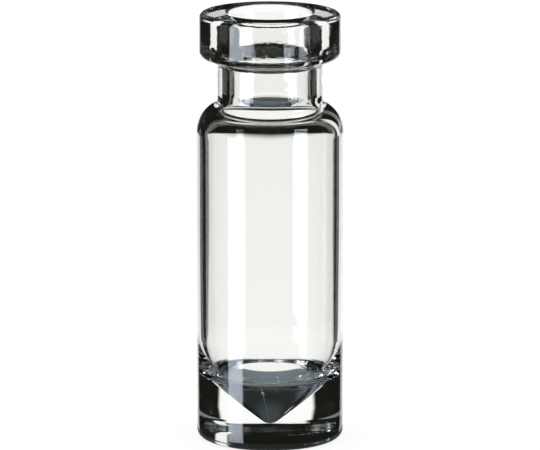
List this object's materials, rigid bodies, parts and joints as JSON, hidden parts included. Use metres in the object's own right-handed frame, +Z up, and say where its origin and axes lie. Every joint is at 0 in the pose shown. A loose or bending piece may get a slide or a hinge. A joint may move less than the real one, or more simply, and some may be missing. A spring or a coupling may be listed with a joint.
{
  "type": "glass sample vial",
  "caption": "Clear glass crimp-neck sample vial, straight body on a thick solid base with a conical inside bottom.",
  "frame": {"origin": "centre of the underside of the base", "axes": "+Z up along the vial's axis, towards the mouth; X and Y are alike, because the vial is round"},
  "size_m": [0.0112, 0.0112, 0.033],
  "materials": {
    "clear_glass": "clear, fire-polished"
  },
  "bodies": {
    "root": {"vial": "clear_glass"}
  },
  "joints": []
}
